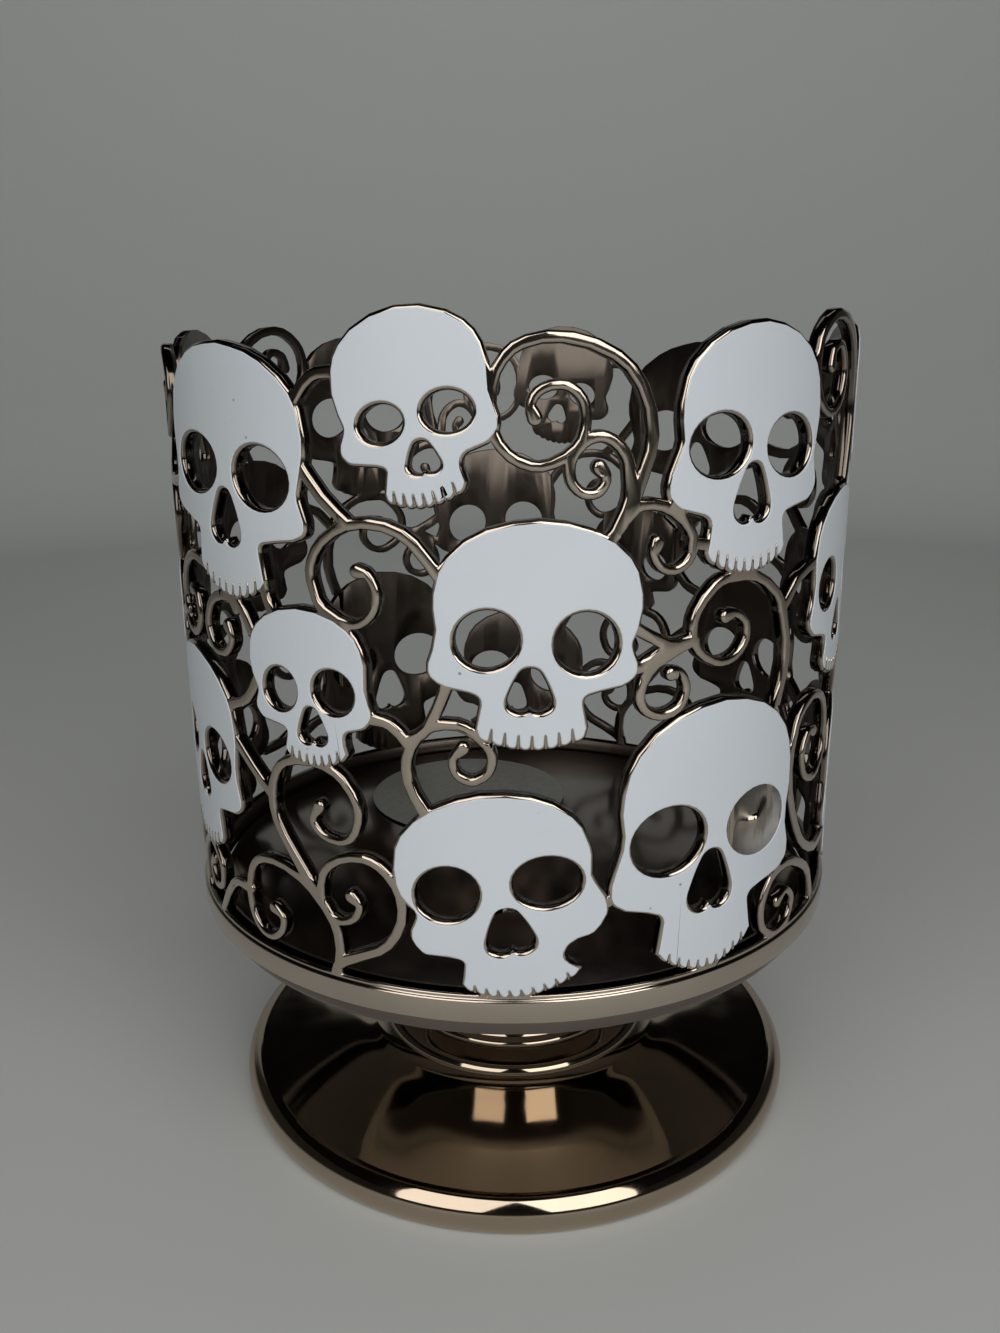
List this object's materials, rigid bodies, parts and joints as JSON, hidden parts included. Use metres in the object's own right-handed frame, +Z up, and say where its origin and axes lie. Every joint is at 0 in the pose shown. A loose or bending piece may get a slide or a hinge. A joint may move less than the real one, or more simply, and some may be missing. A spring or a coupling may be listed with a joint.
{
  "type": "pedestal candle holder",
  "caption": "Footed candle holder: round tray on a turned pedestal inside a pierced metal sleeve of white enamelled skulls and scrollwork.",
  "frame": {"origin": "centre of the foot's underside, on the surface it stands on", "axes": "+Z up along the pedestal, -Y towards the front of the pattern"},
  "size_m": [0.11, 0.11, 0.1346],
  "materials": {
    "gunmetal_sleeve": "polished warm gunmetal plating",
    "gunmetal_tray": "dark gunmetal plating, slightly satin",
    "gunmetal_pedestal": "mirror polished gunmetal plating",
    "white_enamel": "smooth white enamel with faint scuffs",
    "label_paper": "plain pale paper label, blank",
    "zinc_steel": "zinc plated steel"
  },
  "bodies": {
    "root": {"pierced_sleeve": "gunmetal_sleeve", "tray": "gunmetal_tray", "pedestal": "gunmetal_pedestal", "blank_label": "label_paper", "washer": "zinc_steel", "centre_screw": "zinc_steel", "enamel_front_01": "white_enamel", "enamel_front_02": "white_enamel", "enamel_front_03": "white_enamel", "enamel_front_04": "white_enamel", "enamel_front_05": "white_enamel", "enamel_front_06": "white_enamel", "enamel_front_07": "white_enamel", "enamel_front_08": "white_enamel", "enamel_front_09": "white_enamel", "enamel_front_10": "white_enamel", "enamel_front_11": "white_enamel", "enamel_front_12": "white_enamel", "enamel_back_01": "white_enamel", "enamel_back_02": "white_enamel", "enamel_back_03": "white_enamel", "enamel_back_04": "white_enamel", "enamel_back_05": "white_enamel", "enamel_back_06": "white_enamel", "enamel_back_07": "white_enamel", "enamel_back_08": "white_enamel", "enamel_back_09": "white_enamel", "enamel_back_10": "white_enamel", "enamel_back_11": "white_enamel", "enamel_back_12": "white_enamel"}
  },
  "joints": []
}
